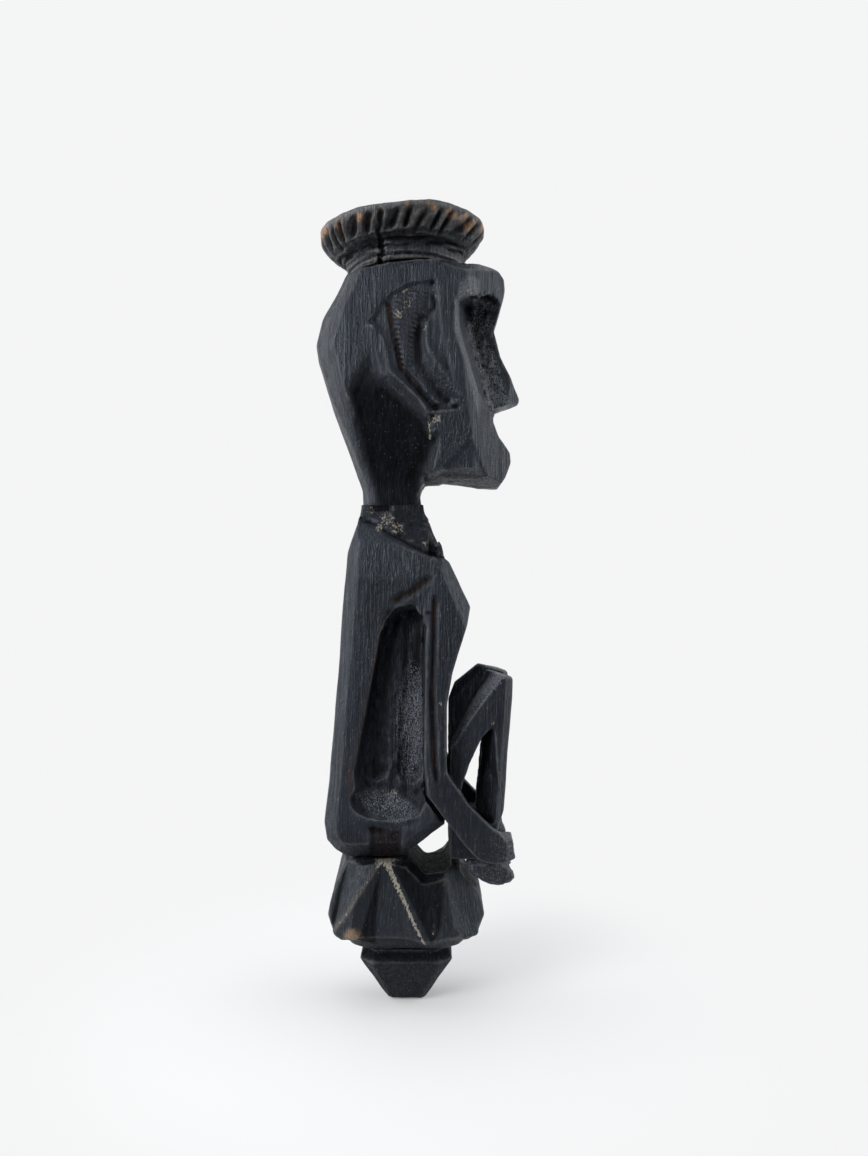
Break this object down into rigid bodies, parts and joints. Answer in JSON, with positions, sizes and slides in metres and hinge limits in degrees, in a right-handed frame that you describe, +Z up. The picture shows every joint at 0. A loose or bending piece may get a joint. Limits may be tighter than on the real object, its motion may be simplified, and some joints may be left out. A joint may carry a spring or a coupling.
{
  "type": "carved wooden figurine",
  "caption": "Black-stained carved wooden figurine of a seated figure hugging its knees, with a notched round headdress, on a faceted stool with a cut foot knob.",
  "frame": {"origin": "centre of the flat underside of the base knob", "axes": "+Z up along the standing figure, the face looks towards -Y, the figure's right hand is towards -X"},
  "size_m": [0.0422, 0.0507, 0.1918],
  "materials": {
    "black_stain": "satin",
    "hat_stain": "matte",
    "stool_stain": "satin"
  },
  "bodies": {
    "root": {"base_knob": "stool_stain", "stool": "stool_stain", "torso": "black_stain", "head": "black_stain", "headdress": "hat_stain", "right_arm": "black_stain", "left_arm": "black_stain", "right_leg": "black_stain", "left_leg": "black_stain", "right_foot": "black_stain", "left_foot": "black_stain"}
  },
  "joints": []
}
